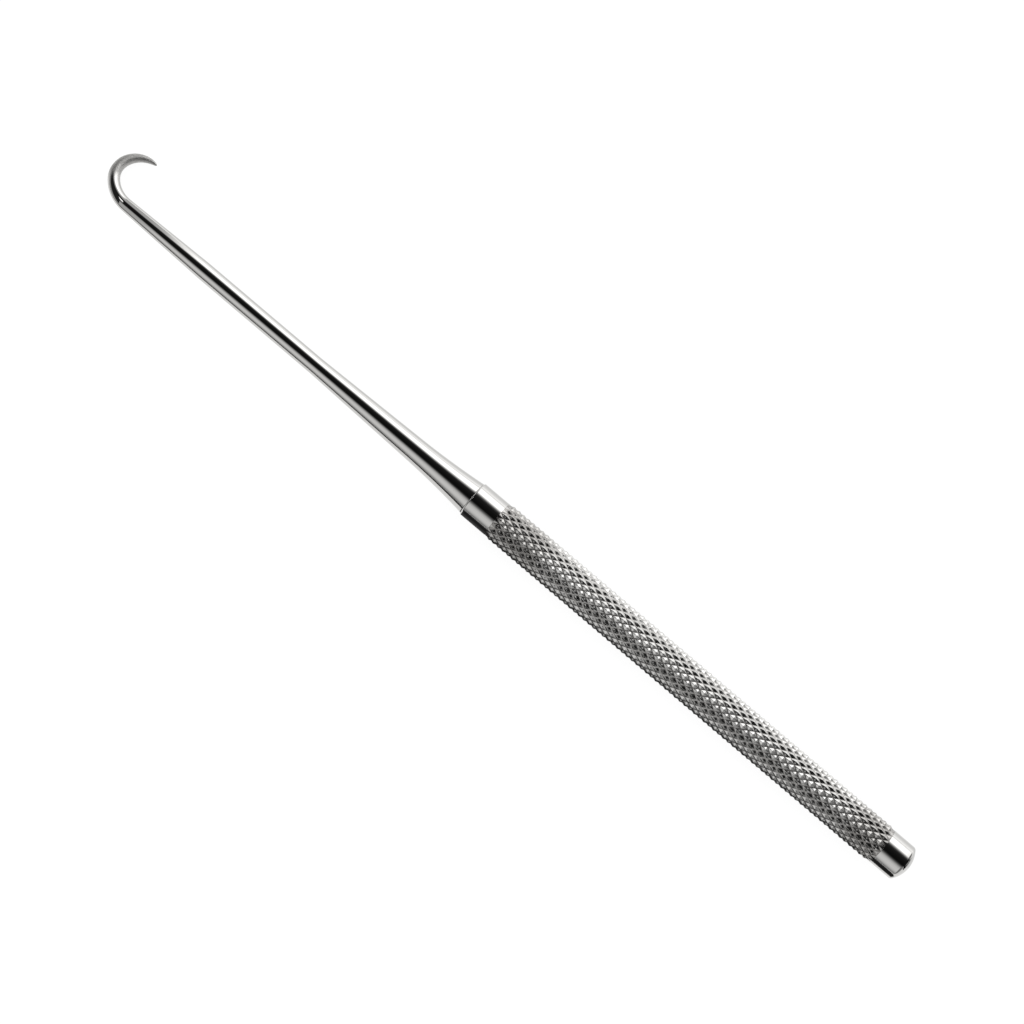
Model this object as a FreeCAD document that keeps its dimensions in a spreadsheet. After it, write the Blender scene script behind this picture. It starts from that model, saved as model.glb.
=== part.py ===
import FreeCAD, Part

# Single sharp skin hook: a slender polished shank with a hooked, pointed prong, whose tang is fixed in a
# round handle with a diamond knurl between a smooth collar and a smooth tail.
#
# Millimetres and degrees. The instrument is drawn along X with its tail towards +X, x = 0 at the seam between
# shank and handle, and the prong curling towards +Y. It is then laid down as it rests on a table, on the
# knurl's crests and the outside of the prong, with the middle of its box over the origin and the table at z = 0.

import math
import os

import Sketcher

# Handle, from the seam to the tail
BAR_DIAMETER = 6.1  # smooth collar and tail
COLLAR_LENGTH = 5.0  # seam to the first knurl
COLLAR_BREAK = 0.2  # chamfer of the collar at the seam
KNURL_LENGTH = 77.0
KNURL_PITCH = 1.925  # diamond to diamond along the handle
KNURL_STARTS = 18  # grooves of each hand, and so diamonds around
KNURL_RISE = 0.2  # how far the tips of the diamonds stand proud of the smooth bar
KNURL_DEPTH = 0.28  # tip of a diamond down to the bottom of a groove
KNURL_END_STEP = 0.06  # how far the first ridges start below the collar and the tail
TAIL_LENGTH = 5.2  # end of the knurl to the end of the handle
TAIL_DOME_RADIUS = 4.6  # domed end
TAIL_EDGE_RADIUS = 0.6  # rounding between the dome and the side

# Shank, from the seam to the start of the bend
SEAM_STEP = 0.2  # how far the collar stands proud of the flare
FLARE_BREAK = 0.05  # broken edge of the flare at the seam
FLARE_LENGTH = 12.0  # curved part of the flare
FLARE_ROOT_DIAMETER = 4.0  # where the curve of the flare starts
TAPER_LENGTH = 20.0  # slow taper from the flare to the plain shank
SHANK_DIAMETER = 2.94  # plain shank
SHANK_LENGTH = 71.3  # seam to the start of the bend
NECK_LENGTH = 16.0  # last part of the shank, which thins towards the bend

# Prong
BEND_DIAMETER = 2.2  # where the bend starts
PRONG_DIAMETER = 1.8  # where the point starts
TIP_DIAMETER = 0.12  # end of the point
ENTRY_RADIUS = 6.0  # wide first part of the bend, at the middle of the wire
ENTRY_TURN = 52.0  # angle of that first part
HOOK_RADIUS = 3.9  # tight part of the bend, at the middle of the wire
POINT_START = 90.0  # angle at which the point starts
HOOK_TURN = 183.0  # angle of the whole bend
RUN_IN = 3.0  # straight start of the drawn prong, ahead of the bend

# Tang inside the handle
TANG_DIAMETER = 3.4
TANG_LENGTH = 12.0  # seam to the end of the tang
TANG_CHAMFER = 0.4  # lead on the end of the tang
TANG_CLEARANCE = 0.02  # gap around the tang, filled by the braze
TANG_END_GAP = 0.5  # room left past the end of the tang

DRIVING_SIZES = {
    "bar_diameter": BAR_DIAMETER,
    "collar_length": COLLAR_LENGTH,
    "collar_break": COLLAR_BREAK,
    "knurl_length": KNURL_LENGTH,
    "knurl_pitch": KNURL_PITCH,
    "knurl_starts": KNURL_STARTS,
    "knurl_rise": KNURL_RISE,
    "knurl_depth": KNURL_DEPTH,
    "knurl_end_step": KNURL_END_STEP,
    "tail_length": TAIL_LENGTH,
    "tail_dome_radius": TAIL_DOME_RADIUS,
    "tail_edge_radius": TAIL_EDGE_RADIUS,
    "seam_step": SEAM_STEP,
    "flare_break": FLARE_BREAK,
    "flare_length": FLARE_LENGTH,
    "flare_root_diameter": FLARE_ROOT_DIAMETER,
    "taper_length": TAPER_LENGTH,
    "shank_diameter": SHANK_DIAMETER,
    "shank_length": SHANK_LENGTH,
    "neck_length": NECK_LENGTH,
    "bend_diameter": BEND_DIAMETER,
    "prong_diameter": PRONG_DIAMETER,
    "tip_diameter": TIP_DIAMETER,
    "entry_radius": ENTRY_RADIUS,
    "entry_turn": ENTRY_TURN,
    "hook_radius": HOOK_RADIUS,
    "point_start": POINT_START,
    "hook_turn": HOOK_TURN,
    "run_in": RUN_IN,
    "tang_diameter": TANG_DIAMETER,
    "tang_length": TANG_LENGTH,
    "tang_chamfer": TANG_CHAMFER,
    "tang_clearance": TANG_CLEARANCE,
    "tang_end_gap": TANG_END_GAP,
}

doc = FreeCAD.newDocument("SkinHook")
sheet = doc.addObject("Spreadsheet::Sheet", "Sizes")
rows = []


def size(alias, value):
    """Adds a row to the sheet. The value is a number, or a formula of other rows that starts with an equals sign."""
    rows.append(alias)
    sheet.set(f"A{len(rows)}", alias.replace("_", " "))
    sheet.set(f"B{len(rows)}", str(value))
    sheet.setAlias(f"B{len(rows)}", alias)


for alias, value in DRIVING_SIZES.items():
    size(alias, value)

# The knurl has a whole number of diamonds in its length
size("knurl_rows", "=round(knurl_length / knurl_pitch)")
size("knurl_diameter", "=bar_diameter + 2 * knurl_rise")
size("flare_diameter", "=bar_diameter - 2 * seam_step")

# Centre of the tight part of the bend
size("bow_x", "=-shank_length - (entry_radius - hook_radius) * sin(entry_turn)")
size("bow_y", "=entry_radius - (entry_radius - hook_radius) * cos(entry_turn)")
doc.recompute()


def get(expression):
    """Value of an expression of the sheet's aliases."""
    return float(sheet.evalExpression(expression))


# Sketch tools

ORIGIN = -1


def spot(name):
    """The number by which a sketch knows a point of an edge."""
    return ("edge", "start", "end", "centre").index(name)


def pin_down(sketch, geometry, point, x, y):
    """Ties a sketch point to the expressions x and y, measured from the sketch's origin."""
    for kind, text in (("DistanceX", x), ("DistanceY", y)):
        if text == "0":
            axis = -2 if kind == "DistanceX" else -1
            sketch.addConstraint(Sketcher.Constraint("PointOnObject", geometry, point, axis))
            continue
        value = get(text)
        index = sketch.addConstraint(Sketcher.Constraint(kind, ORIGIN, spot("start"), geometry, point, value))
        sketch.setExpression(f"Constraints[{index}]", in_sheet(text))


def in_sheet(text):
    """The expression text with each alias of the sheet written as another object needs it."""
    words = []
    word = ""
    for letter in text + " ":
        if letter.isalpha() or letter == "_":
            word += letter
            continue
        known = word and sheet.getCellFromAlias(word)
        words.append(f"Sizes.{word}" if known else word)
        words.append(letter)
        word = ""
    return "".join(words).strip()


def draw_outline(sketch, corners):
    """Draws a closed outline. A corner is (x, y), or (x, y, radius) if an arc of that radius leads up to it."""
    places = [(get(corner[0]), get(corner[1])) for corner in corners]
    count = len(corners)
    edges = []
    for i in range(count):
        start = FreeCAD.Vector(*places[i], 0)
        end = FreeCAD.Vector(*places[(i + 1) % count], 0)
        following = corners[(i + 1) % count]
        if len(following) == 3:
            edges.append(("arc", sketch.addGeometry(arc_between(start, end, get(following[2])))))
        else:
            edges.append(("line", sketch.addGeometry(Part.LineSegment(start, end))))
    for i in range(count):
        kind, edge = edges[i]
        next_edge = edges[(i + 1) % count][1]
        start_end = ends_of(sketch, edge, places[i])
        next_start = ends_of(sketch, next_edge, places[(i + 1) % count])[0]
        sketch.addConstraint(Sketcher.Constraint("Coincident", edge, start_end[1], next_edge, next_start))
        pin_down(sketch, edge, start_end[0], corners[i][0], corners[i][1])
        following = corners[(i + 1) % count]
        if kind == "arc":
            radius = abs(get(following[2]))
            index = sketch.addConstraint(Sketcher.Constraint("Radius", edge, radius))
            sketch.setExpression(f"Constraints[{index}]", in_sheet(f"abs({following[2]})"))


def arc_between(start, end, radius):
    """Short arc from start to end. A negative radius puts its centre to the right of the way from start to end."""
    chord = end - start
    middle = (start + end) * 0.5
    left = FreeCAD.Vector(-chord.y, chord.x, 0).normalize()
    rise = math.sqrt(radius * radius - chord.Length * chord.Length / 4)
    side = 1 if radius > 0 else -1
    centre = middle + left * (side * rise)
    top = centre - left * (side * abs(radius))
    return Part.Arc(start, top, end)


def ends_of(sketch, edge, start_place):
    """Which end of the edge is its start in the outline, and which is its end."""
    first = sketch.getPoint(edge, spot("start"))
    at_start = math.hypot(first.x - start_place[0], first.y - start_place[1]) < 1e-6
    return (spot("start"), spot("end")) if at_start else (spot("end"), spot("start"))


def body_plane(body, role):
    return next(plane for plane in body.Origin.OriginFeatures if plane.Role == role)


# Hook and shank: one forged and turned piece, with the tang that holds it in the handle

hook_shank = doc.addObject("PartDesign::Body", "HookShank")
hook_shank.Label = "hook_shank"

shank_profile = hook_shank.newObject("Sketcher::SketchObject", "ShankProfile")
shank_profile.AttachmentSupport = [(body_plane(hook_shank, "XY_Plane"), "")]
shank_profile.MapMode = "FlatFace"

# Circle through the flare's two ends that leaves the slow taper without a corner: the curve rises by as much as
# the taper would, and by its bulge
size("taper_slope", "=(flare_root_diameter - shank_diameter) / 2 / taper_length")
size("flare_rise", "=(flare_diameter - flare_root_diameter) / 2")
size("flare_run", "=flare_length - flare_break")
size("flare_bulge", "=flare_rise - taper_slope * flare_run")
size("flare_radius", "=(flare_run^2 + flare_rise^2) * sqrt(1 + taper_slope^2) / (2 * flare_bulge)")
size("neck_slope", "=(shank_diameter - bend_diameter) / 2 / neck_length")
doc.recompute()

draw_outline(
    shank_profile,
    [
        ("-shank_length + run_in", "0"),
        ("-shank_length + run_in", "bend_diameter / 2 + neck_slope * run_in"),
        ("-shank_length + neck_length", "shank_diameter / 2"),
        ("-flare_length - taper_length", "shank_diameter / 2"),
        ("-flare_length", "flare_root_diameter / 2"),
        ("-flare_break", "flare_diameter / 2", "flare_radius"),
        ("0", "flare_diameter / 2 - flare_break"),
        ("0", "tang_diameter / 2"),
        ("tang_length - tang_chamfer", "tang_diameter / 2"),
        ("tang_length", "tang_diameter / 2 - tang_chamfer"),
        ("tang_length", "0"),
    ],
)
doc.recompute()

shank = hook_shank.newObject("PartDesign::Revolution", "Shank")
shank.Profile = shank_profile
shank.ReferenceAxis = (shank_profile, ["H_Axis"])
shank.Angle = 360
doc.recompute()

# The prong is lofted through round sections square to its curve, closer together where it thins to the point
ENTRY_SECTIONS = 3
BOW_SECTIONS = 3
POINT_SECTIONS = 8


def prong_section(number, along, across, turn, diameter):
    """A circle across the wire at the given place, with the wire turned by the given angle from the shank."""
    section = hook_shank.newObject("Sketcher::SketchObject", f"ProngSection{number:02d}")
    section.AttachmentSupport = [(body_plane(hook_shank, "YZ_Plane"), "")]
    section.MapMode = "FlatFace"
    section.AttachmentOffset = FreeCAD.Placement(
        FreeCAD.Vector(get(across), 0, get(along)), FreeCAD.Rotation(FreeCAD.Vector(0, 1, 0), -get(turn))
    )
    section.setExpression("AttachmentOffset.Base.x", in_sheet(across))
    section.setExpression("AttachmentOffset.Base.z", in_sheet(along))
    section.setExpression("AttachmentOffset.Rotation.Angle", in_sheet(f"-({turn})"))
    centre = FreeCAD.Vector(0, 0, 0)
    circle = section.addGeometry(Part.Circle(centre, FreeCAD.Vector(0, 0, 1), get(diameter) / 2))
    section.addConstraint(Sketcher.Constraint("Coincident", circle, spot("centre"), ORIGIN, spot("start")))
    index = section.addConstraint(Sketcher.Constraint("Diameter", circle, get(diameter)))
    section.setExpression(f"Constraints[{index}]", in_sheet(diameter))
    return section


def wire_diameter(turn):
    """Thins evenly to the start of the point, which is then ground to a long rounded taper."""
    return f"bend_diameter + (prong_diameter - bend_diameter) * ({turn}) / point_start"


def point_diameter(share):
    return f"tip_diameter + (prong_diameter - tip_diameter) * (1 - ({share})^1.5)^0.6"


sections = []
for k in (2, 1):
    ahead = f"run_in * {k} / 2"
    sections.append(
        prong_section(
            len(sections), f"-shank_length + {ahead}", "0", "0", f"bend_diameter + 2 * neck_slope * {ahead}"
        )
    )
for k in range(ENTRY_SECTIONS):
    turn = f"entry_turn * {k} / {ENTRY_SECTIONS}"
    along = f"-shank_length - entry_radius * sin({turn})"
    across = f"entry_radius * (1 - cos({turn}))"
    sections.append(prong_section(len(sections), along, across, turn, wire_diameter(turn)))
for k in range(BOW_SECTIONS):
    turn = f"entry_turn + (point_start - entry_turn) * {k} / {BOW_SECTIONS}"
    along = f"bow_x - hook_radius * sin({turn})"
    across = f"bow_y - hook_radius * cos({turn})"
    sections.append(prong_section(len(sections), along, across, turn, wire_diameter(turn)))
for k in range(POINT_SECTIONS + 1):
    share = f"1 - (1 - {k} / {POINT_SECTIONS})^2"
    turn = f"point_start + (hook_turn - point_start) * ({share})"
    along = f"bow_x - hook_radius * sin({turn})"
    across = f"bow_y - hook_radius * cos({turn})"
    sections.append(prong_section(len(sections), along, across, turn, point_diameter(share)))
doc.recompute()

prong = hook_shank.newObject("PartDesign::AdditiveLoft", "Prong")
prong.Profile = sections[0]
prong.Sections = sections[1:]
prong.Ruled = False
hook_shank.Tip = prong
doc.recompute()

# Handle: one bar, turned at both ends, rolled with the diamond knurl between them and drilled for the tang

collar_profile = doc.addObject("Sketcher::SketchObject", "CollarProfile")
draw_outline(
    collar_profile,
    [
        ("0", "0"),
        ("0", "bar_diameter / 2 - collar_break"),
        ("collar_break", "bar_diameter / 2"),
        ("collar_length", "bar_diameter / 2"),
        ("collar_length", "0"),
    ],
)
collar = doc.addObject("Part::Revolution", "Collar")
collar.Source = collar_profile
collar.Axis = FreeCAD.Vector(1, 0, 0)
collar.Solid = True

# The rounding's centre lies off the axis by tail_edge_y and past the dome's centre by tail_edge_dx, and the dome
# and the rounding touch on the line through both centres
size("tail_start", "=collar_length + knurl_length")
size("handle_length", "=tail_start + tail_length")
size("tail_centre_x", "=handle_length - tail_dome_radius")
size("tail_edge_y", "=bar_diameter / 2 - tail_edge_radius")
size("tail_edge_reach", "=tail_dome_radius - tail_edge_radius")
size("tail_edge_dx", "=sqrt(tail_edge_reach^2 - tail_edge_y^2)")
size("dome_scale", "=tail_dome_radius / tail_edge_reach")
doc.recompute()

tail_profile = doc.addObject("Sketcher::SketchObject", "TailProfile")
draw_outline(
    tail_profile,
    [
        ("tail_start", "0"),
        ("tail_start", "bar_diameter / 2"),
        ("tail_centre_x + tail_edge_dx", "bar_diameter / 2"),
        ("tail_centre_x + tail_edge_dx * dome_scale", "tail_edge_y * dome_scale", "-tail_edge_radius"),
        ("handle_length", "0", "-tail_dome_radius"),
    ],
)
tail = doc.addObject("Part::Revolution", "Tail")
tail.Source = tail_profile
tail.Axis = FreeCAD.Vector(1, 0, 0)
tail.Solid = True


def knurled_bar():
    """Solid bar between two planes, covered by four-sided diamonds.

    Right-hand and left-hand V grooves cross on rings half a pitch apart. Around each ring, groove crossings and
    diamond tips take turns, and from one ring to the next they change places. The surface between two rings is
    folded along the grooves, from crossing to crossing.
    """
    around = 2 * round(get("knurl_starts"))
    rings = 2 * round(get("knurl_rows")) + 1
    ring_spacing = get("knurl_length") / (rings - 1)
    tip_radius = get("knurl_diameter / 2")
    groove_radius = tip_radius - get("knurl_depth")
    end_tip_radius = get("bar_diameter / 2 - knurl_end_step")
    points = []
    for ring in range(rings):
        x = get("collar_length") + ring * ring_spacing
        ring_tip_radius = end_tip_radius if ring in (0, rings - 1) else tip_radius
        for j in range(around):
            radius = ring_tip_radius if (ring + j) % 2 == 1 else groove_radius
            angle = math.radians(j * 360 / around - 90)
            points.append(FreeCAD.Vector(x, radius * math.cos(angle), radius * math.sin(angle)))
    facets = []
    for ring in range(rings - 1):
        for j in range(around):
            here, beside = ring * around + j, ring * around + (j + 1) % around
            ahead, across = here + around, beside + around
            if (ring + j) % 2 == 0:
                facets += [(here, beside, across), (here, across, ahead)]
            else:
                facets += [(here, beside, ahead), (beside, across, ahead)]
    for ring, turn in ((0, -1), (rings - 1, 1)):
        points.append(FreeCAD.Vector(points[ring * around].x, 0, 0))
        for j in range(around):
            rim = (ring * around + j, ring * around + (j + 1) % around)
            facets.append((len(points) - 1, *rim[::turn]))
    surface = Part.Shape()
    surface.makeShapeFromMesh((points, facets), 1e-4)
    bar = Part.Solid(surface.Shells[0] if surface.Shells else Part.Shell(surface.Faces))
    return bar if bar.Volume > 0 else bar.reversed()


knurl = doc.addObject("Part::Feature", "Knurl")
knurl.Shape = knurled_bar()

bar = doc.addObject("Part::MultiFuse", "Bar")
bar.Shapes = [collar, knurl, tail]
bar.Refine = False

bore = doc.addObject("Part::Cylinder", "TangBore")
bore.Placement = FreeCAD.Placement(FreeCAD.Vector(0, 0, 0), FreeCAD.Rotation(FreeCAD.Vector(0, 1, 0), 90))
bore.setExpression("Radius", in_sheet("tang_diameter / 2 + tang_clearance"))
bore.setExpression("Height", in_sheet("tang_length + tang_end_gap"))

handle = doc.addObject("Part::Cut", "Handle")
handle.Label = "handle"
handle.Base = bar
handle.Tool = bore
handle.Refine = False
doc.recompute()

# Laid down to rest: the prong turns down until its outside touches the table that the knurl lies on


def turn_to_rest():
    """Angle about the axis at which the first of the prong's sections reaches the table."""
    axis_height = get("knurl_diameter / 2")
    angles = []
    for section in sections:
        radius = section.Geometry[0].Radius
        reach = section.Placement.Base.y
        if reach > axis_height:
            angles.append(math.degrees(math.asin((axis_height - radius) / reach)))
    return min(angles)


SUB_PARTS = [hook_shank, handle]

roll = FreeCAD.Rotation(FreeCAD.Vector(1, 0, 0), -turn_to_rest())
hook_shank.Placement = FreeCAD.Placement(FreeCAD.Vector(0, 0, 0), roll)
doc.recompute()

box = FreeCAD.BoundBox()
for part in SUB_PARTS:
    box.add(part.Shape.optimalBoundingBox(False, False))
move = FreeCAD.Vector(-box.Center.x, -box.Center.y, -box.ZMin)
hook_shank.Placement = FreeCAD.Placement(move, roll)
handle.Placement = FreeCAD.Placement(move, FreeCAD.Rotation())
doc.recompute()

# Checks and export

for item in doc.Objects:
    if "Invalid" in item.State or "Error" in item.State:
        raise RuntimeError(f"{item.Name} failed: {item.State}")
if handle.Shape.Volume >= bar.Shape.Volume:
    raise RuntimeError("the tang's bore cut nothing")
os.makedirs("parts", exist_ok=True)
for part in SUB_PARTS:
    if part.Shape.isNull() or not part.Shape.isValid() or len(part.Shape.Solids) != 1:
        raise RuntimeError(f"{part.Label} is not one valid solid")
    part.Shape.exportStep(f"parts/{part.Label}.step")
    solid = part.Shape.BoundBox
    print(f"{part.Label}: {part.Shape.Volume:.2f} mm3, {len(part.Shape.Faces)} faces")
    print(f"  x {solid.XMin:.3f} to {solid.XMax:.3f}, y {solid.YMin:.3f} to {solid.YMax:.3f}", end="")
    print(f", z {solid.ZMin:.3f} to {solid.ZMax:.3f}")
print(f"prong turned down by {turn_to_rest():.2f} degrees")
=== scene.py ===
import math

import bmesh
import bpy
from mathutils import Matrix, Vector


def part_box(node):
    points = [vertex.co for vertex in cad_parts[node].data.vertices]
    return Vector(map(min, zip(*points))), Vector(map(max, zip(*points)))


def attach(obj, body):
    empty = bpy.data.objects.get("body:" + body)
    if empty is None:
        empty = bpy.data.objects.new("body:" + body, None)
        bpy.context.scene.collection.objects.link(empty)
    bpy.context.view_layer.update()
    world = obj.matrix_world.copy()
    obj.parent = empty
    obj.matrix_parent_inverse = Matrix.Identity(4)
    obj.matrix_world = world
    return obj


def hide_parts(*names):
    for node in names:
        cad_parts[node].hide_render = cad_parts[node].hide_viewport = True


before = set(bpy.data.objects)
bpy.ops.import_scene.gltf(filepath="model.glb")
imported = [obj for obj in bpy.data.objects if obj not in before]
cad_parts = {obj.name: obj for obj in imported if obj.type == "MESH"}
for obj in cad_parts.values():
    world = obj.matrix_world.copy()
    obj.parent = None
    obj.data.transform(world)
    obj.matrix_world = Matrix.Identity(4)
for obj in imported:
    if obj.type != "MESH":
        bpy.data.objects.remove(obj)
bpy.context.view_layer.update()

# Camera
# The instrument lies on a table. The lens looks almost straight down at it, and stands a little towards the
# tail and towards the side away from the prong, so that the tail looks slightly larger than the hook.

# A millimetre in Blender's metres
MM = 0.001

IMAGE_SIDE = 1024
FOCAL_LENGTH_PIXELS = 2329.9
SENSOR_WIDTH = 36
CAMERA_DISTANCE = 360 * MM
CAMERA_AZIMUTH = math.radians(-49.57)
CAMERA_ELEVATION = math.radians(83.83)
AIM_ALONG = 1.3 * MM
AIM_ACROSS = 2.392 * MM
NEAREST_SEEN = 10 * MM
FARTHEST_SEEN = 20

handle_low, handle_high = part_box("handle")
AXIS_Y = (handle_low.y + handle_high.y) / 2
AXIS_Z = (handle_low.z + handle_high.z) / 2
SEAM_X = handle_low.x

towards_camera = Vector(
    (
        math.cos(CAMERA_AZIMUTH) * math.cos(CAMERA_ELEVATION),
        math.sin(CAMERA_AZIMUTH) * math.cos(CAMERA_ELEVATION),
        math.sin(CAMERA_ELEVATION),
    )
)
camera_data = bpy.data.cameras.new("camera")
camera_data.sensor_width = SENSOR_WIDTH
camera_data.lens = FOCAL_LENGTH_PIXELS / IMAGE_SIDE * SENSOR_WIDTH
camera_data.clip_start = NEAREST_SEEN
camera_data.clip_end = FARTHEST_SEEN
camera = bpy.data.objects.new("camera", camera_data)
bpy.context.scene.collection.objects.link(camera)
look_at = Vector((AIM_ALONG, AXIS_Y + AIM_ACROSS, AXIS_Z))
camera.location = look_at + towards_camera * CAMERA_DISTANCE
camera.rotation_mode = "QUATERNION"
camera.rotation_quaternion = (-towards_camera).to_track_quat("-Z", "Y")
bpy.context.scene.camera = camera

# Hook and shank
# One piece of stainless steel: a turned shank that thins to a wire, which is bent to the prong and ground
# to a point. Its flare meets the handle at the seam, and the tang behind the flare is brazed into the
# handle. Its sizes are in millimetres.
FLARE_END_RADIUS = 2.85
FLARE_BREAK = 0.05
FLARE_LENGTH = 12.0
FLARE_ROOT_RADIUS = 2.0
TAPER_LENGTH = 20.0
SHANK_RADIUS = 1.47
SHANK_LENGTH = 71.3
NECK_LENGTH = 16.0
BEND_RADIUS = 1.1
PRONG_RADIUS = 0.9
TIP_RADIUS = 0.06
ENTRY_CURVE = 6.0
ENTRY_TURN = math.radians(52)
HOOK_CURVE = 3.9
HOOK_TURN = math.radians(183)
POINT_START = math.radians(90)
POINT_HOLD = 1.5
POINT_FULLNESS = 0.6
POINT_STEPS = 72
GRINDING_START = math.radians(41)
GRINDING_BLEND = math.radians(24)
TANG_RADIUS = 1.7
TANG_LENGTH = 12.0
TANG_CHAMFER = 0.4
SIDES = 96
TURNED_EDGE = math.radians(40)

# The shown surface keeps this many millimetres inside the solid
INSIDE = 0.006


def shank_radius(back):
    """Radius of the shank at a distance back from the seam towards the hook, in millimetres."""
    taper_slope = (FLARE_ROOT_RADIUS - SHANK_RADIUS) / TAPER_LENGTH
    if back < FLARE_BREAK:
        share = 1 - back / FLARE_BREAK
        return FLARE_END_RADIUS - FLARE_BREAK * (1 - math.sqrt(1 - share * share))
    if back < FLARE_LENGTH:
        run = FLARE_LENGTH - FLARE_BREAK
        rise = FLARE_END_RADIUS - FLARE_ROOT_RADIUS - taper_slope * run
        share = (FLARE_LENGTH - back) / run
        return FLARE_ROOT_RADIUS + taper_slope * run * share + rise * share**2
    if back < FLARE_LENGTH + TAPER_LENGTH:
        return FLARE_ROOT_RADIUS - taper_slope * (back - FLARE_LENGTH)
    neck_start = SHANK_LENGTH - NECK_LENGTH
    if back < neck_start:
        return SHANK_RADIUS
    return SHANK_RADIUS - (SHANK_RADIUS - BEND_RADIUS) * (back - neck_start) / NECK_LENGTH


def prong_station(turn):
    """The wire where it has turned by that angle: its centre in a plane, its turn and its radius."""
    if turn < POINT_START:
        radius = BEND_RADIUS + (PRONG_RADIUS - BEND_RADIUS) * turn / POINT_START
    else:
        share = (turn - POINT_START) / (HOOK_TURN - POINT_START)
        radius = TIP_RADIUS + (PRONG_RADIUS - TIP_RADIUS) * (1 - share**POINT_HOLD) ** POINT_FULLNESS
    curve = ENTRY_CURVE if turn < ENTRY_TURN else HOOK_CURVE
    centre_x = -SHANK_LENGTH - (ENTRY_CURVE - curve) * math.sin(ENTRY_TURN)
    centre_y = ENTRY_CURVE - (ENTRY_CURVE - curve) * math.cos(ENTRY_TURN)
    return centre_x - curve * math.sin(turn), centre_y - curve * math.cos(turn), turn, radius


def ground_share(turn):
    """How far the wire is ground instead of buffed: not at all in the shank, wholly towards the point."""
    return min(max((turn - GRINDING_START) / GRINDING_BLEND, 0), 1)


def spread(start, end, steps):
    """Evenly spaced values from start up to, but without, end."""
    return [start + (end - start) * k / steps for k in range(steps)]


backs = (
    spread(0, FLARE_BREAK, 4)
    + spread(FLARE_BREAK, FLARE_LENGTH, 24)
    + spread(FLARE_LENGTH, FLARE_LENGTH + TAPER_LENGTH, 10)
    + spread(FLARE_LENGTH + TAPER_LENGTH, SHANK_LENGTH - NECK_LENGTH, 10)
    + spread(SHANK_LENGTH - NECK_LENGTH, SHANK_LENGTH, 16)
)
turns = spread(0, ENTRY_TURN, 26) + spread(ENTRY_TURN, POINT_START, 24)
for k in range(POINT_STEPS + 1):
    turns.append(POINT_START + (HOOK_TURN - POINT_START) * math.sin(math.pi / 2 * k / POINT_STEPS))
stations = [
    (TANG_LENGTH, 0, 0, TANG_RADIUS - TANG_CHAMFER),
    (TANG_LENGTH - TANG_CHAMFER, 0, 0, TANG_RADIUS),
    (0, 0, 0, TANG_RADIUS),
]
stations += [(-back, 0, 0, shank_radius(back)) for back in backs]
stations += [prong_station(turn) for turn in turns]

# The prong turns down about the shank's axis until it touches the table
roll = min(
    math.asin((AXIS_Z / MM - radius) / across)
    for along, across, turn, radius in stations
    if across > AXIS_Z / MM
)
lay_down = (
    Matrix.Translation((SEAM_X, AXIS_Y, AXIS_Z)) @ Matrix.Rotation(-roll, 4, "X") @ Matrix.Scale(MM, 4)
)


def swept_mesh(name, stations, place):
    """A round bar through the stations, closed at both ends. Each has a centre, a turn and a radius."""
    points = []
    for along, across, turn, radius in stations:
        for k in range(SIDES):
            angle = 2 * math.pi * k / SIDES
            outward = (radius - INSIDE) * math.cos(angle)
            upward = (radius - INSIDE) * math.sin(angle)
            points.append((along - outward * math.sin(turn), across - outward * math.cos(turn), upward))
    first_centre, last_centre = len(points), len(points) + 1
    points += [(*stations[0][:2], 0), (*stations[-1][:2], 0)]
    faces = []
    last_ring = (len(stations) - 1) * SIDES
    for k in range(SIDES):
        next_k = (k + 1) % SIDES
        for ring in range(0, last_ring, SIDES):
            faces.append((ring + k, ring + next_k, ring + SIDES + next_k, ring + SIDES + k))
        faces.append((next_k, k, first_centre))
        faces.append((last_ring + k, last_ring + next_k, last_centre))
    mesh = bpy.data.meshes.new(name)
    mesh.from_pydata(points, [], faces)
    mesh.transform(place)
    ground = [ground_share(station[2]) for station in stations for k in range(SIDES)]
    ground += [ground_share(stations[0][2]), ground_share(stations[-1][2])]
    mesh.attributes.new("ground", "FLOAT", "POINT").data.foreach_set("value", ground)
    mesh.shade_smooth()
    mesh.set_sharp_from_angle(angle=TURNED_EDGE)
    return mesh


def linear(hex_colour):
    """Colour as Blender takes it, from the sRGB hex that a designer writes."""
    parts = [int(hex_colour[k : k + 2], 16) / 255 for k in (1, 3, 5)]
    return (*(p / 12.92 if p <= 0.04045 else ((p + 0.055) / 1.055) ** 2.4 for p in parts), 1)


def add(tree, kind, inputs=(), **settings):
    """Adds a node. An input takes a plain value, or is linked to a socket or to another node's result."""
    made = tree.nodes.new(kind)
    for name, value in settings.items():
        setattr(made, name, value)
    for name, value in dict(inputs).items():
        if isinstance(value, bpy.types.Node):
            value = next(socket for socket in value.outputs if socket.enabled)
        if isinstance(value, bpy.types.NodeSocket):
            tree.links.new(value, made.inputs[name])
        else:
            made.inputs[name].default_value = value
    return made


def new_material(name):
    """A material whose nodes are cleared, and its node tree."""
    material = bpy.data.materials.new(name)
    material.use_nodes = True
    material.node_tree.nodes.clear()
    return material, material.node_tree


STEEL = "#c5c4c2"
GROUND_STEEL = "#bab9b7"
BUFFED_ROUGHNESS = 0.055
GROUND_ROUGHNESS = 0.55
MARK_LENGTH = 4 * MM
MARK_WIDTH = 0.25 * MM
MARK_DEPTH = 0.002 * MM
MARK_STRENGTH = 0.25
SMUDGE_SIZE = 3.33 * MM
NOISE_LOW = 0.3
NOISE_HIGH = 0.7


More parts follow.
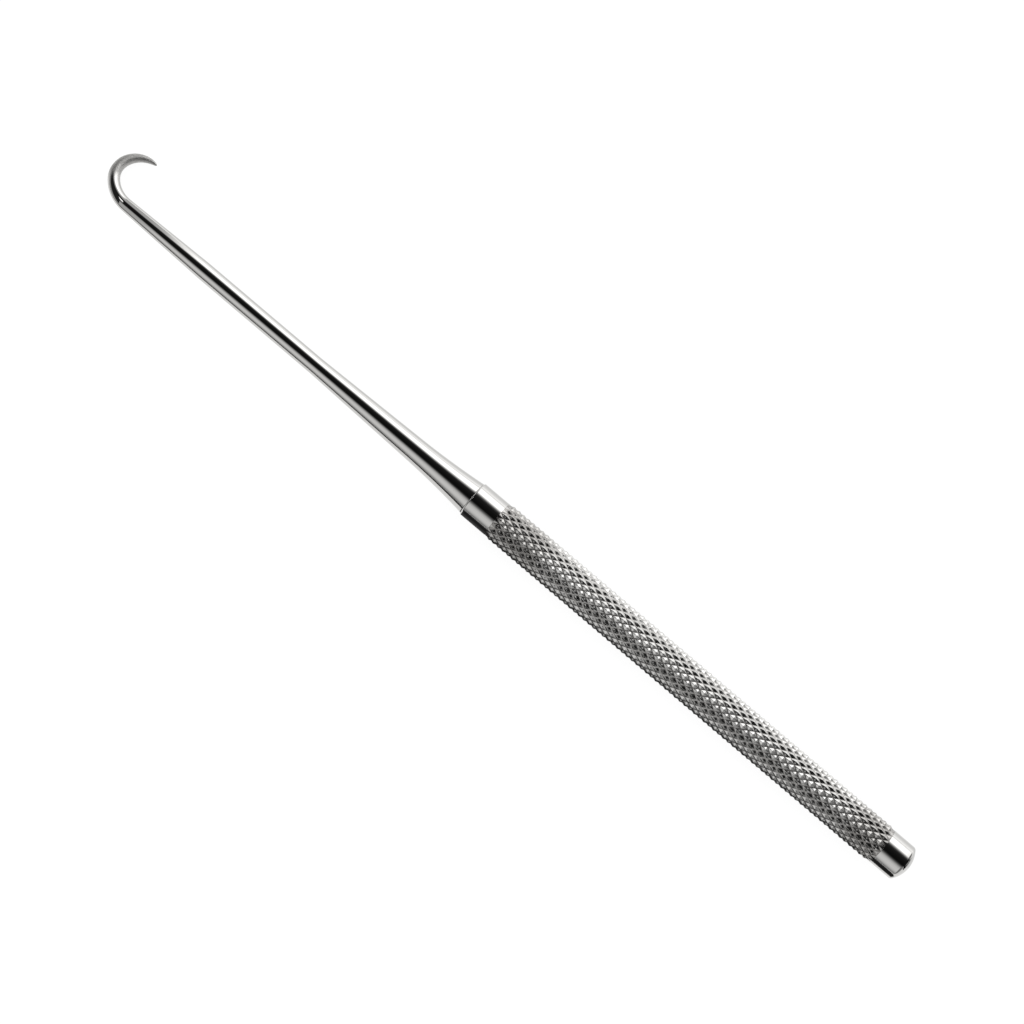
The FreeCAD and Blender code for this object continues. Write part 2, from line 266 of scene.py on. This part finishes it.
def wear(tree):
    """Faint wipe marks along the bar, and smudges of some millimetres. Real marks are some hundredths of a
    millimetre wide. These are drawn as coarse as they need to be to show."""
    place = add(tree, "ShaderNodeTexCoord").outputs["Object"]
    fineness = (1 / MARK_LENGTH, 1 / MARK_WIDTH, 1 / MARK_WIDTH)
    stretched = add(tree, "ShaderNodeMapping", {"Vector": place, "Scale": fineness})
    marks = add(tree, "ShaderNodeTexNoise", {"Vector": stretched, "Scale": 1.0, "Detail": 3})
    smudges = add(tree, "ShaderNodeTexNoise", {"Vector": place, "Scale": 1 / SMUDGE_SIZE, "Detail": 4})
    return marks, smudges


def uneven(tree, pattern, roughness, smoothest, roughest):
    """A roughness that wanders with the marks or the smudges, between two shares of itself."""
    swing = {"From Min": NOISE_LOW, "From Max": NOISE_HIGH}
    swing |= {"To Min": roughness * smoothest, "To Max": roughness * roughest}
    return add(tree, "ShaderNodeMapRange", {"Value": pattern, **swing})


def finish_steel(tree, colour, roughness, marks):
    """The metal itself, with the wipe marks as a faint relief."""
    depth = {"Strength": MARK_STRENGTH, "Distance": MARK_DEPTH}
    relief = add(tree, "ShaderNodeBump", {"Height": marks, **depth})
    looks = {"Base Color": colour, "Metallic": 1.0, "Roughness": roughness, "Normal": relief}
    steel = add(tree, "ShaderNodeBsdfPrincipled", looks)
    add(tree, "ShaderNodeOutputMaterial", {"Surface": steel})


def polished_steel():
    """Stainless steel buffed to a mirror, with wipe marks and smudges. The ground point stays satin."""
    material, tree = new_material("polished_stainless_steel")
    marks, smudges = wear(tree)
    ground = add(tree, "ShaderNodeAttribute", attribute_name="ground").outputs["Fac"]
    buffed = uneven(tree, smudges, BUFFED_ROUGHNESS, smoothest=0.75, roughest=1.35)
    satin = uneven(tree, marks, GROUND_ROUGHNESS, smoothest=0.87, roughest=1.13)
    roughness = add(tree, "ShaderNodeMix", {"Factor": ground, "A": buffed, "B": satin})
    steels = {"A": linear(STEEL), "B": linear(GROUND_STEEL)}
    colour = add(tree, "ShaderNodeMix", {"Factor": ground, **steels}, data_type="RGBA")
    finish_steel(tree, colour, roughness, marks)
    return material


def add_piece(name, mesh, material, node):
    """Shows the mesh in place of the node of that name."""
    piece = bpy.data.objects.new(name, mesh)
    bpy.context.scene.collection.objects.link(piece)
    mesh.materials.append(material)
    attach(piece, "root")
    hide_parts(node)
    return piece


hook_mesh = swept_mesh("hook_and_shank", stations, lay_down)
add_piece("hook_and_shank", hook_mesh, polished_steel(), "hook_shank")

# Handle
# One round bar of stainless steel. Two rollers pressed the diamond knurl into it and left its tips slightly
# rounded. The collar, the tail and the tang's bore are turned. Its sizes are in millimetres too.
BAR_RADIUS = 3.05
COLLAR_LENGTH = 5.0
COLLAR_BREAK = 0.2
KNURL_TIP_RADIUS = 3.25
KNURL_DEPTH = 0.28
KNURL_LENGTH = 77.0
KNURL_ROWS = 40
KNURL_STARTS = 18
KNURL_END_STEP = 0.06
KNURL_EDGE = math.radians(50)
TAIL_LENGTH = 5.2
TAIL_DOME_RADIUS = 4.6
TAIL_EDGE_RADIUS = 0.6
BORE_RADIUS = 1.72
BORE_LENGTH = 12.5

# A ring of points just behind the collar's break keeps the collar's shading straight
COLLAR_FIRST_RING = 0.3

# Half diamonds along and around the knurl
HALF_PITCH = KNURL_LENGTH / KNURL_ROWS / 2
RINGS = 2 * KNURL_ROWS
AROUND = 2 * KNURL_STARTS

# The roundings are shares of a groove's depth. A flank is divided at these levels, which are shares of the
# way from its groove to the tip of its diamond, and into these parts across it.
GROOVE_ROUNDING = 0.28
RIDGE_ROUNDING = 0.28
TIP_ROUNDING = 0.15
FLANK_LEVELS = (0.0, 0.16, 0.32, 0.6, 0.9, 1.0)
FLANK_PARTS = (0.0, 0.14, 0.86, 1.0)

# The mesh tells the material its height: 0 in the grooves, this at the tips, and 1 where it is turned
TIP_HEIGHT = 0.5


def knurl_height(along, around):
    """Height over the groove, as a share of the tip's, at a place counted in half diamonds. The flank rises
    from the nearer of the two nearest grooves, of which one is right-hand and one left-hand."""
    right_hand = 1 - abs((along - around) % 2 - 1)
    left_hand = 1 - abs((along + around) % 2 - 1)
    ridge = max(RIDGE_ROUNDING - abs(right_hand - left_hand), 0) ** 2 / (4 * RIDGE_ROUNDING)
    share = min(right_hand, left_hand) - ridge
    if share < GROOVE_ROUNDING:
        share = GROOVE_ROUNDING / 2 + max(share, 0) ** 2 / (2 * GROOVE_ROUNDING)
    share = min(share, 1 - TIP_ROUNDING / 2)
    return (share - GROOVE_ROUNDING / 2) / (1 - TIP_ROUNDING / 2 - GROOVE_ROUNDING / 2)


def knurl_radius(along, around):
    """Radius of the knurl at that place. The rollers leave its first and last diamonds lower."""
    end_share = min(along, RINGS - along, 1)
    groove = KNURL_TIP_RADIUS - KNURL_DEPTH
    tip = KNURL_TIP_RADIUS - (KNURL_TIP_RADIUS - BAR_RADIUS + KNURL_END_STEP) * (1 - end_share)
    return groove + (tip - groove) * knurl_height(along, around)


def between(start, end, share):
    """The place at that share of the way from start to end."""
    return [a + (b - a) * share for a, b in zip(start, end)]


# The rim of the knurl's ends is divided where the flanks there are, and the turned surfaces follow it
rim = set()
for step in range(0, AROUND, 2):
    for level in FLANK_LEVELS:
        rim |= {round(step + level, 4), round(step + 2 - level, 4)}
rim = sorted(rim)[:-1]
rim_steps = list(zip(rim, rim[1:] + rim[:1]))

# Profiles of the turned surfaces: places along the handle from the seam, and the radius at each. The tail's
# dome is an arc round dome_x on the axis, and its edge an arc round edge_x and edge_y.
knurl_end = COLLAR_LENGTH + KNURL_LENGTH
handle_end = knurl_end + TAIL_LENGTH
dome_x = handle_end - TAIL_DOME_RADIUS
edge_y = BAR_RADIUS - TAIL_EDGE_RADIUS
edge_turn = math.asin(edge_y / (TAIL_DOME_RADIUS - TAIL_EDGE_RADIUS))
edge_x = dome_x + (TAIL_DOME_RADIUS - TAIL_EDGE_RADIUS) * math.cos(edge_turn)
bore_and_collar = [
    (BORE_LENGTH, 0),
    (BORE_LENGTH, BORE_RADIUS),
    (0, BORE_RADIUS),
    (0, BAR_RADIUS - COLLAR_BREAK),
    (COLLAR_BREAK, BAR_RADIUS),
    (COLLAR_FIRST_RING, BAR_RADIUS),
    (COLLAR_LENGTH, BAR_RADIUS),
]
tail = [(knurl_end, BAR_RADIUS), (knurl_end + TAIL_LENGTH / 2, BAR_RADIUS)]
for turn in spread(math.pi / 2, edge_turn, 8):
    tail.append((edge_x + TAIL_EDGE_RADIUS * math.cos(turn), edge_y + TAIL_EDGE_RADIUS * math.sin(turn)))
for turn in spread(edge_turn, 0, 16):
    tail.append((dome_x + TAIL_DOME_RADIUS * math.cos(turn), TAIL_DOME_RADIUS * math.sin(turn)))
tail.append((handle_end, 0))


def handle_mesh(name):
    """The bar with its bore, collar, knurl and tail as one closed surface."""
    points = []
    heights = []
    faces = []
    known = {}

    def point(x, radius, around, height=1.0):
        """Number of the point at that place along the handle, radius and half diamonds around it."""
        key = (round(x, 4), round(radius, 4), round(around % AROUND, 4) if radius else 0)
        if key not in known:
            known[key] = len(points)
            heights.append(height)
            angle = math.pi * around / KNURL_STARTS - math.pi / 2
            y, z = radius * math.cos(angle), radius * math.sin(angle)
            points.append((SEAM_X + x * MM, AXIS_Y + y * MM, AXIS_Z + z * MM))
        return known[key]

    def knurl_point(along, around):
        """Number of the point of the knurl at that place in half diamonds."""
        height = TIP_HEIGHT * knurl_height(along, around)
        return point(COLLAR_LENGTH + along * HALF_PITCH, knurl_radius(along, around), around, height)

    def face(*corners):
        """A face without the corners that coincide."""
        kept = [corner for k, corner in enumerate(corners) if corner != corners[k - 1]]
        if len(kept) > 2:
            faces.append(kept)

    def flank(tip, crossing, next_crossing):
        """One flank of a diamond, from the groove between two crossings up to the tip."""
        rows = []
        for level in FLANK_LEVELS:
            left, right = between(crossing, tip, level), between(next_crossing, tip, level)
            rows.append([knurl_point(*between(left, right, part)) for part in FLANK_PARTS])
        for low, high in zip(rows, rows[1:]):
            for k in range(len(FLANK_PARTS) - 1):
                face(low[k], low[k + 1], high[k + 1], high[k])

    def turned(profile):
        """The turned surface through the places of a profile."""
        for low, high in zip(profile, profile[1:]):
            for here, beside in rim_steps:
                face(point(*low, here), point(*low, beside), point(*high, beside), point(*high, here))

    turned(bore_and_collar)
    for ring in range(RINGS):
        for step in range(AROUND):
            corners = [(ring, step), (ring + 1, step), (ring + 1, step + 1), (ring, step + 1)]
            if (ring + step) % 2:
                corners = corners[1:] + corners[:1]
            flank(corners[1], corners[0], corners[2])
            flank(corners[3], corners[2], corners[0])
    turned(tail)

    # Steps between the knurl's end diamonds and the turned surfaces
    for along, x in ((0, COLLAR_LENGTH), (RINGS, knurl_end)):
        for here, beside in rim_steps:
            step_up = (knurl_point(along, beside), knurl_point(along, here))
            face(point(x, BAR_RADIUS, here), point(x, BAR_RADIUS, beside), *step_up)

    mesh = bpy.data.meshes.new(name)
    mesh.from_pydata(points, [], faces)
    mesh.attributes.new("height", "FLOAT", "POINT").data.foreach_set("value", heights)
    build = bmesh.new()
    build.from_mesh(mesh)
    bmesh.ops.recalc_face_normals(build, faces=build.faces)
    build.to_mesh(mesh)
    build.free()
    mesh.shade_smooth()
    mesh.set_sharp_from_angle(angle=KNURL_EDGE)
    return mesh


ROLLED_STEEL = "#d3d2d0"
# Painted shade: the steel in the grooves is darker than on the diamonds
SHADED_GROOVE_STEEL = "#b4b2af"
KNURL_END_TINT = "#dad9d8"
ROLLED_ROUGHNESS = 0.2
GROOVE_ROUGHNESS = 0.5
GROOVE_DARK = 0.16

# The knurl is tinted darker towards its ends. The tint leaves out this middle, which is counted from the
# seam, as far as the first reach to each side, and is full past the second.
UNTINTED_MIDDLE = 45.0
UNTINTED_REACH = 29.0
FULL_TINT_REACH = 32.5


def knurled_steel():
    """The same steel: buffed on the collar and the tail, rolled in the knurl. Fingers and cloths keep the
    diamonds bright. The bottoms of the grooves are dull with what the rinse leaves in them, and their
    steel is darker with painted shade. The knurl's last millimetres by the collar and the tail are
    tinted darker."""
    material, tree = new_material("knurled_stainless_steel")
    marks, smudges = wear(tree)
    height = add(tree, "ShaderNodeAttribute", attribute_name="height").outputs["Fac"]
    falling = {"Value": height, "To Min": 1, "To Max": 0}
    rolled = add(tree, "ShaderNodeMapRange", {"From Min": TIP_HEIGHT, **falling})
    groove = add(tree, "ShaderNodeMapRange", {"From Max": TIP_HEIGHT * GROOVE_DARK, **falling})

    buffed = uneven(tree, smudges, BUFFED_ROUGHNESS, smoothest=0.75, roughest=1.35)
    flank = uneven(tree, smudges, ROLLED_ROUGHNESS, smoothest=0.75, roughest=1.3)
    knurl = add(tree, "ShaderNodeMix", {"Factor": groove, "A": flank, "B": GROOVE_ROUGHNESS})
    roughness = add(tree, "ShaderNodeMix", {"Factor": rolled, "A": buffed, "B": knurl})

    # Painted shade darkens the steel towards the bottoms of the grooves
    steels = {"A": linear(ROLLED_STEEL), "B": linear(SHADED_GROOVE_STEEL)}
    knurl = add(tree, "ShaderNodeMix", {"Factor": groove, **steels}, data_type="RGBA")
    steels = {"A": linear(STEEL), "B": knurl}
    colour = add(tree, "ShaderNodeMix", {"Factor": rolled, **steels}, data_type="RGBA")

    place = add(tree, "ShaderNodeTexCoord").outputs["Object"]
    along = add(tree, "ShaderNodeSeparateXYZ", {0: place}).outputs["X"]
    away = add(tree, "ShaderNodeMath", {0: along, 1: SEAM_X + UNTINTED_MIDDLE * MM}, operation="SUBTRACT")
    away = add(tree, "ShaderNodeMath", {0: away}, operation="ABSOLUTE")
    reach = {"From Min": UNTINTED_REACH * MM, "From Max": FULL_TINT_REACH * MM}
    end_tint = add(tree, "ShaderNodeMapRange", {"Value": away, **reach})
    end_tint = add(tree, "ShaderNodeMath", {0: end_tint, 1: rolled}, operation="MULTIPLY")
    tint = {"Factor": end_tint, "A": colour, "B": linear(KNURL_END_TINT)}
    colour = add(tree, "ShaderNodeMix", tint, data_type="RGBA", blend_type="MULTIPLY")
    finish_steel(tree, colour, roughness, marks)
    return material


handle = add_piece("handle_bar", handle_mesh("handle_bar"), knurled_steel(), "handle")
even_out = handle.modifiers.new("even_out", "WEIGHTED_NORMAL")
even_out.keep_sharp = True

# Table
# A smooth white sheet. For the lens and the metal it glows white and takes only a little light, so that the
# instrument's shadow on it stays faint. For all other light it is a plain pale sheet.
TABLE_SIZE = 3000 * MM
TABLE_GLOW = 0.88
TABLE_SHADED_GREY = "#737373"
TABLE_WHITE = "#e6e6e6"
WHITE = "#ffffff"


def flat_sheet(name, corners):
    """A sheet of the stage through the corners, in metres."""
    mesh = bpy.data.meshes.new(name)
    mesh.from_pydata(corners, [], [tuple(range(len(corners)))])
    sheet = bpy.data.objects.new(name, mesh)
    bpy.context.scene.collection.objects.link(sheet)
    return sheet


half = TABLE_SIZE / 2
table = flat_sheet("table", [(-half, -half, 0), (half, -half, 0), (half, half, 0), (-half, half, 0)])
material, tree = new_material("white_table")
rays = add(tree, "ShaderNodeLightPath").outputs
mirrored = {0: rays["Is Glossy Ray"], 1: rays["Is Transmission Ray"]}
mirrored = add(tree, "ShaderNodeMath", mirrored, operation="MAXIMUM")
seen = add(tree, "ShaderNodeMath", {0: rays["Is Camera Ray"], 1: mirrored}, operation="MAXIMUM")
glow = add(tree, "ShaderNodeEmission", {"Color": linear(WHITE), "Strength": TABLE_GLOW})
shaded = add(tree, "ShaderNodeBsdfDiffuse", {"Color": linear(TABLE_SHADED_GREY)})
bright = add(tree, "ShaderNodeAddShader", {0: glow, 1: shaded})
plain = add(tree, "ShaderNodeBsdfDiffuse", {"Color": linear(TABLE_WHITE)})
surface = add(tree, "ShaderNodeMixShader", {0: seen, 1: plain, 2: bright})
add(tree, "ShaderNodeOutputMaterial", {"Surface": surface})
table.data.materials.append(material)

# Light
# A white room lights the table evenly. Over the instrument stands a light tent, which only the metal sees:
# a bright side behind the prong, a softer side in front, and the dark slot that the lens looks through.
# Its sizes are in metres.
TENT_RADIUS = 0.5
TENT_HOOK_END = -0.35
TENT_TAIL_END = 3.0
TENT_SIDES = 120

# Tones by the angle in degrees from straight above, counted towards the front
TENT_TONES = (
    (-90, 1.1),
    (-84, 1.5),
    (-76, 2.1),
    (-50, 2.1),
    (-44, 1.1),
    (-38, 0.4),
    (-32, 0.07),
    (-26, 0.02),
    (-10, 0.01),
    (10, 0.006),
    (17, 0.02),
    (22, 0.1),
    (28, 0.36),
    (36, 0.68),
    (46, 0.88),
    (60, 0.93),
    (72, 0.76),
    (80, 0.5),
    (90, 0.22),
)

world = bpy.data.worlds.new("white_room")
bpy.context.scene.world = world
world.use_nodes = True
world.node_tree.nodes.clear()
sky = add(world.node_tree, "ShaderNodeBackground", {"Color": linear(WHITE), "Strength": 1.0})
add(world.node_tree, "ShaderNodeOutputWorld", {"Surface": sky})

points = []
for k in range(TENT_SIDES + 1):
    angle = math.pi * k / TENT_SIDES
    y, z = AXIS_Y + TENT_RADIUS * math.cos(angle), AXIS_Z + TENT_RADIUS * math.sin(angle)
    points += [(TENT_HOOK_END, y, z), (TENT_TAIL_END, y, z)]
sides = [(2 * k, 2 * k + 1, 2 * k + 3, 2 * k + 2) for k in range(TENT_SIDES)]
ends = [tuple(range(start, len(points), 2)) for start in (0, 1)]
tent_mesh = bpy.data.meshes.new("light_tent")
tent_mesh.from_pydata(points, [], sides + ends)
tent = bpy.data.objects.new("light_tent", tent_mesh)
bpy.context.scene.collection.objects.link(tent)


def grey_tones(tree, share, stops):
    """Tones along a share from 0 to 1, as parts of the brightest one, which is returned with them."""
    brightest = max(tone for place, tone in stops)
    ramp = add(tree, "ShaderNodeValToRGB", {"Fac": share})
    elements = ramp.color_ramp.elements
    for place, tone in stops[1:-1]:
        elements.new(place)
    for element, (place, tone) in zip(elements, stops):
        element.position = place
        element.color = (tone / brightest, tone / brightest, tone / brightest, 1)
    return ramp, brightest


def light_up(sheet, material, tone, strength):
    """Makes the sheet glow in that tone, only for what the metal reflects."""
    tree = material.node_tree
    glow = add(tree, "ShaderNodeEmission", {"Color": tone, "Strength": strength})
    add(tree, "ShaderNodeOutputMaterial", {"Surface": glow})
    sheet.data.materials.append(material)
    sheet.visible_camera = False
    sheet.visible_diffuse = False
    sheet.visible_shadow = False


material, tree = new_material("tent_cloth")
place = add(tree, "ShaderNodeTexCoord").outputs["Object"]
place_x, place_y, place_z = add(tree, "ShaderNodeSeparateXYZ", {0: place}).outputs
frontward = add(tree, "ShaderNodeMath", {0: AXIS_Y, 1: place_y}, operation="SUBTRACT")
upward = add(tree, "ShaderNodeMath", {0: place_z, 1: AXIS_Z}, operation="SUBTRACT")
angle = add(tree, "ShaderNodeMath", {0: frontward, 1: upward}, operation="ARCTAN2")
quarter = math.pi / 2
share = add(tree, "ShaderNodeMapRange", {"Value": angle, "From Min": -quarter, "From Max": quarter})
tones, brightest = grey_tones(tree, share, [((degrees + 90) / 180, tone) for degrees, tone in TENT_TONES])

# The tent's cards end beyond the prong, the front one a little further out. Bare grey cloth hangs past
# them. They also end beyond the tail. The darker cloth there shades the flanks that face the tail.
HOOK_CARDS_END = -0.21
HOOK_CARDS_BLUR = 0.01
HOOK_CLOTH = 0.58
FRONT_CARD_LONGER = 0.015
TAIL_CARDS_END = 0.2
TAIL_CARDS_BLUR = 0.04
TAIL_CLOTH = 0.28

slant = add(tree, "ShaderNodeMath", {0: share, 1: FRONT_CARD_LONGER}, operation="MULTIPLY")
along = add(tree, "ShaderNodeMath", {0: place_x, 1: slant}, operation="ADD")
hook_limit = add(
    tree,
    "ShaderNodeMapRange",
    {
        "Value": along,
        "From Min": HOOK_CARDS_END - HOOK_CARDS_BLUR,
        "From Max": HOOK_CARDS_END + HOOK_CARDS_BLUR,
        "To Min": HOOK_CLOTH / brightest,
        "To Max": 1,
    },
)
tail_limit = add(
    tree,
    "ShaderNodeMapRange",
    {
        "Value": place_x,
        "From Min": TAIL_CARDS_END - TAIL_CARDS_BLUR,
        "From Max": TAIL_CARDS_END + TAIL_CARDS_BLUR,
        "To Min": 1,
        "To Max": TAIL_CLOTH / brightest,
    },
)
limit = add(tree, "ShaderNodeMath", {0: hook_limit, 1: tail_limit}, operation="MINIMUM")
side_tone = add(tree, "ShaderNodeMath", {0: tones, 1: limit}, operation="MINIMUM")

# The tent's end behind the prong is lit from below, up to this height
END_LOW_TONE = 0.75
END_HIGH_TONE = 0.02
END_LIT_HEIGHT = 0.16

end_tones = {"To Min": END_LOW_TONE / brightest, "To Max": END_HIGH_TONE / brightest}
end_tone = add(tree, "ShaderNodeMapRange", {"Value": place_z, "From Max": END_LIT_HEIGHT, **end_tones})
at_end = add(tree, "ShaderNodeMath", {0: place_x, 1: TENT_HOOK_END + MM}, operation="LESS_THAN")
tone = add(tree, "ShaderNodeMix", {"Factor": at_end, "A": side_tone, "B": end_tone})
light_up(tent, material, tone, brightest)

# Sheets and cards round the instrument, which only the metal sees. Each tone holds at a distance to either
# side of the handle's axis, in millimetres. The ramp gives near distances more room than far ones.
SHEET_HEIGHT = 0.1
SHEET_REACH = 400
RAMP_POWER = 0.25
BLACK = 0.012


def lay_sheet(name, corners, tones):
    """A sheet through the corners, each a place along the instrument, across it from the handle's axis and,
    where the sheet doesn't lie on the table, above it, in millimetres."""
    places = [(x * MM, AXIS_Y + y * MM, (up[0] if up else SHEET_HEIGHT) * MM) for x, y, *up in corners]
    material, tree = new_material(name)
    place = add(tree, "ShaderNodeTexCoord").outputs["Object"]
    across = add(tree, "ShaderNodeSeparateXYZ", {0: place}).outputs["Y"]
    across = add(tree, "ShaderNodeMath", {0: across, 1: AXIS_Y}, operation="SUBTRACT")
    across = add(tree, "ShaderNodeMath", {0: across}, operation="ABSOLUTE")
    share = add(tree, "ShaderNodeMath", {0: across, 1: SHEET_REACH * MM}, operation="DIVIDE")
    share = add(tree, "ShaderNodeMath", {0: share, 1: RAMP_POWER}, operation="POWER")
    stops = [((distance / SHEET_REACH) ** RAMP_POWER, tone) for distance, tone in tones]
    light_up(flat_sheet(name, places), material, *grey_tones(tree, share, stops))


def even(tone):
    """The same tone all over a sheet."""
    return [(0, tone), (SHEET_REACH, tone)]


seam, tail_end = SEAM_X / MM, handle_high.x / MM
tail_start = tail_end - TAIL_LENGTH

# In front, a dark sheet that only the metal sees paints the instrument's shadow on the table, and so draws
# the dark line along the handle. It keeps further from the thin shank, whose shadow is narrower.
lay_sheet(
    "painted_shadow_sheet",
    [
        (-600, -400),
        (tail_end + 50, -400),
        (tail_end + 5, -7.5),
        (tail_start - 1, -7.5),
        (tail_start - 3, -1.5),
        (seam - 0.3, -1.5),
        (seam - 1.5, -17),
        (-600, -17),
    ],
    [(1.5, 0.3), (2.4, 0.17), (4.6, 0.085), (7.7, 0.044), (13, 0.015), (24, 0.02), (80, 0.1), (400, 0.3)],
)

# Behind, a white card is brightest far out. Its dimmer tones near the handle are the instrument's painted
# shade on the table.
lay_sheet(
    "white_card_painted_shade",
    [(-600, 0.2), (1000, 0.2), (1000, 400), (-600, 400)],
    [(0.2, 0.95), (8, 0.95), (14, 1.15), (24, 1.35), (60, 1.6), (400, 1.6)],
)

# A black wedge points at the tail, with a black board behind it. They darken the middle of the tail's edge
board_x = tail_end + 300
lay_sheet(
    "black_wedge",
    [(tail_end + 8, -2), (board_x, -40), (board_x, 130), (tail_end + 8, 6)],
    even(BLACK),
)
lay_sheet(
    "black_board",
    [(board_x, -40, 0), (board_x, 130, 0), (board_x, 360, 480), (board_x, -60, 480)],
    even(BLACK),
)

# A small window card over the bend gives it its glint
lay_sheet(
    "window_card",
    [(-305, -50, 440), (-250, -50, 440), (-250, 80, 440), (-305, 80, 440)],
    even(1.8),
)

bpy.context.scene.view_settings.view_transform = "Standard"
